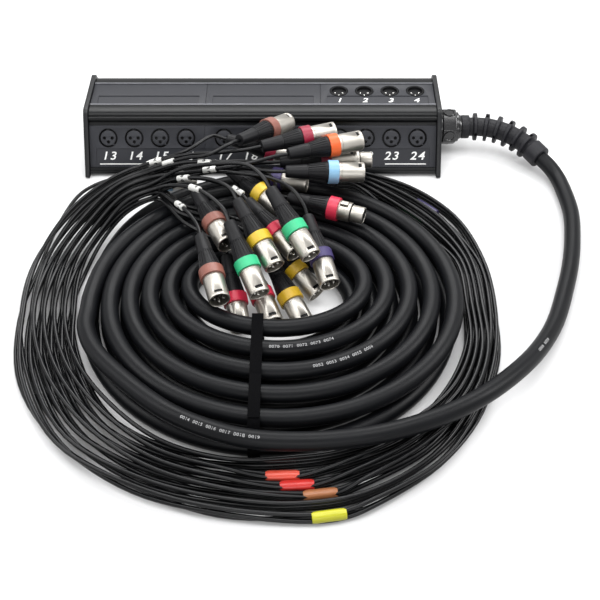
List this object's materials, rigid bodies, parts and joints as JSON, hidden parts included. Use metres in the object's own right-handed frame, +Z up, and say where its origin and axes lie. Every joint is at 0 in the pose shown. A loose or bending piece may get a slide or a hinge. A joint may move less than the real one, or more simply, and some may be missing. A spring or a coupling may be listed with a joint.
{
  "type": "stage box snake",
  "caption": "Stage box with a coiled multicore snake: an extruded box of panel sockets on end plates, and a fan-out of tails that end in cable plugs.",
  "frame": {"origin": "centre of the box's footprint, on the floor under its end plates", "axes": "+X along the box towards the cable gland, +Y towards the rear face, +Z up"},
  "size_m": [0.5371, 0.5716, 0.0913],
  "materials": {
    "profile": "black anodised, satin",
    "plate": "dark grey powder coat, satin",
    "end_plate": "moulded black, matt",
    "socket": "black, satin",
    "gland": "black nylon, satin",
    "relief": "moulded, matt",
    "multicore": "black jacket, satin",
    "strap": "black hook-and-loop",
    "tail": "black jacket with a coloured group sleeve",
    "plug": "satin nickel with a black boot and a coloured ring",
    "latch": "satin nickel"
  },
  "bodies": {
    "stage_box": {"profile_shell": "profile", "base_plate": "plate", "end_plate_left": "end_plate", "end_plate_right": "end_plate", "front_panel_a": "plate", "front_panel_b": "plate", "front_panel_c": "plate", "front_sockets_a": "socket", "front_sockets_b": "socket", "front_sockets_c": "socket", "rear_panel_a": "plate", "rear_panel_b": "plate", "rear_panel_c": "plate", "rear_sockets_a": "socket", "rear_sockets_b": "socket", "rear_sockets_c": "socket", "top_panel_a": "plate", "top_panel_b": "plate", "top_panel_c": "plate", "return_sockets": "socket", "cable_gland": "gland", "bend_relief": "relief", "multicore_coil": "multicore", "multicore_lead": "multicore", "fanout_boot": "relief", "coil_strap": "strap", "tails_green": "tail", "tails_orange": "tail", "tails_red": "tail", "tails_brown": "tail", "tails_violet": "tail", "tails_yellow": "tail", "input_plug_01": "plug", "input_plug_02": "plug", "input_plug_03": "plug", "input_plug_04": "plug", "input_plug_05": "plug", "input_plug_06": "plug", "input_plug_07": "plug", "input_plug_08": "plug", "input_plug_09": "plug", "input_plug_10": "plug", "input_plug_11": "plug", "input_plug_12": "plug", "input_plug_13": "plug", "input_plug_14": "plug", "input_plug_15": "plug", "input_plug_16": "plug", "input_plug_17": "plug", "input_plug_18": "plug", "return_plug_1": "plug", "return_plug_2": "plug", "return_plug_3": "plug", "return_plug_4": "plug"},
    "latch_1": {"return_latch_1": "latch"},
    "latch_2": {"return_latch_2": "latch"},
    "latch_3": {"return_latch_3": "latch"},
    "latch_4": {"return_latch_4": "latch"}
  },
  "joints": [
    {"name": "latch_1_press", "type": "slide", "parent": "stage_box", "child": "latch_1", "axis": [-0.0164, 0.006, -0.9998], "range_m": [0, 0.0012], "stiffness_N_per_m": 1500, "springref_m": -0.001},
    {"name": "latch_2_press", "type": "slide", "parent": "stage_box", "child": "latch_2", "axis": [-0.2755, 0.0096, -0.9613], "range_m": [0, 0.0012], "stiffness_N_per_m": 1500, "springref_m": -0.001},
    {"name": "latch_3_press", "type": "slide", "parent": "stage_box", "child": "latch_3", "axis": [0, 0, -1], "range_m": [0, 0.0012], "stiffness_N_per_m": 1500, "springref_m": -0.001},
    {"name": "latch_4_press", "type": "slide", "parent": "stage_box", "child": "latch_4", "axis": [0, 0, -1], "range_m": [0, 0.0012], "stiffness_N_per_m": 1500, "springref_m": -0.001}
  ]
}
